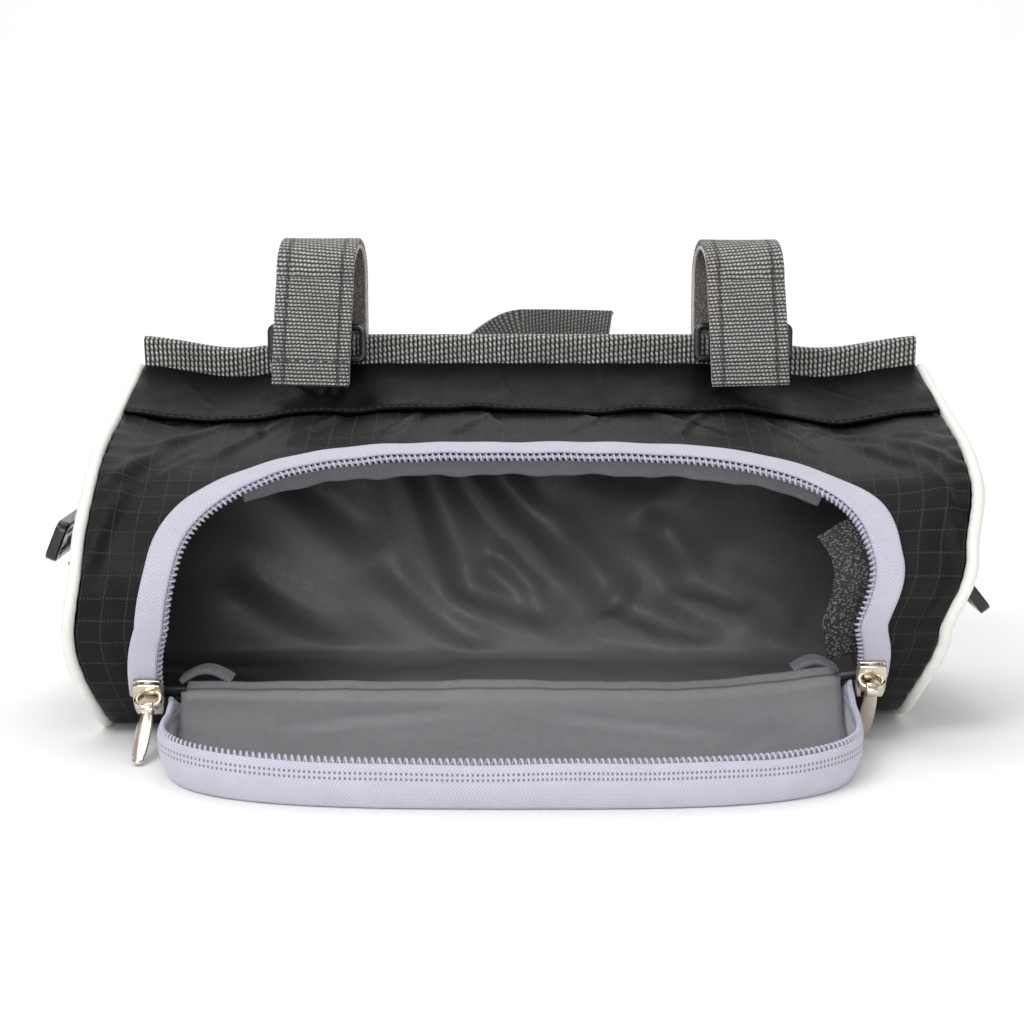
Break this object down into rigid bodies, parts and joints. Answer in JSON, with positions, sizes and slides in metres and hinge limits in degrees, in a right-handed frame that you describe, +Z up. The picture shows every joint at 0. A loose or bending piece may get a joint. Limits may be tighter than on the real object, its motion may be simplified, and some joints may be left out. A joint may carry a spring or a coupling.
{
  "type": "motorcycle handlebar bag",
  "caption": "Soft roll bag with a front door on a U-shaped zip, piped ends, bound rim and webbing loops that hang it on a motorcycle handlebar.",
  "frame": {"origin": "on the floor under the middle of the bag's flat base", "axes": "X along the handlebar, -Y towards the door side, +Z up"},
  "size_m": [0.2925, 0.1783, 0.1478],
  "materials": {
    "ripstop": "coated ripstop weave",
    "lining": "satin twill",
    "zip_tape": "woven tape",
    "zip_coil": "nylon coil",
    "piping": "smooth piping cord",
    "webbing": "ribbed webbing",
    "hook_tape": "hook and loop tape",
    "mesh": "coarse mesh",
    "plastic": "moulded",
    "metal": "pale champagne plating"
  },
  "bodies": {
    "bag": {"wrap_panel": "ripstop", "top_band": "ripstop", "back_panel": "ripstop", "rim_binding": "webbing", "end_panel_left": "ripstop", "end_panel_right": "ripstop", "piping_left": "piping", "piping_right": "piping", "lining": "lining", "zip_tape": "zip_tape", "zip_coil": "zip_coil", "inner_binding": "webbing", "mesh_strip": "mesh", "door_panel": "ripstop", "door_lining": "lining", "door_tape": "zip_tape", "door_coil": "zip_coil", "strap_left": "webbing", "strap_liner_left": "hook_tape", "ring_left": "plastic", "strap_right": "webbing", "strap_liner_right": "hook_tape", "ring_right": "plastic", "stem_strap": "webbing", "tab_lower_left": "webbing", "tab_upper_left": "webbing", "ladder_lock_left": "plastic", "tab_lower_right": "webbing", "tab_upper_right": "webbing", "ladder_lock_right": "plastic", "slider_left": "metal", "slider_right": "metal", "seam_tab_left": "webbing", "seam_tab_right": "webbing"},
    "pull_left": {"pull_left": "metal"},
    "pull_right": {"pull_right": "metal"}
  },
  "joints": [
    {"name": "pull_left_swing", "type": "hinge", "parent": "bag", "child": "pull_left", "pos_m": [-0.11047, -0.05464, 0.01272], "axis": [1, 0, 0], "range_deg": [-100, 70]},
    {"name": "pull_right_swing", "type": "hinge", "parent": "bag", "child": "pull_right", "pos_m": [0.10092, -0.05487, 0.01853], "axis": [1, 0, 0], "range_deg": [-190, 5]}
  ]
}
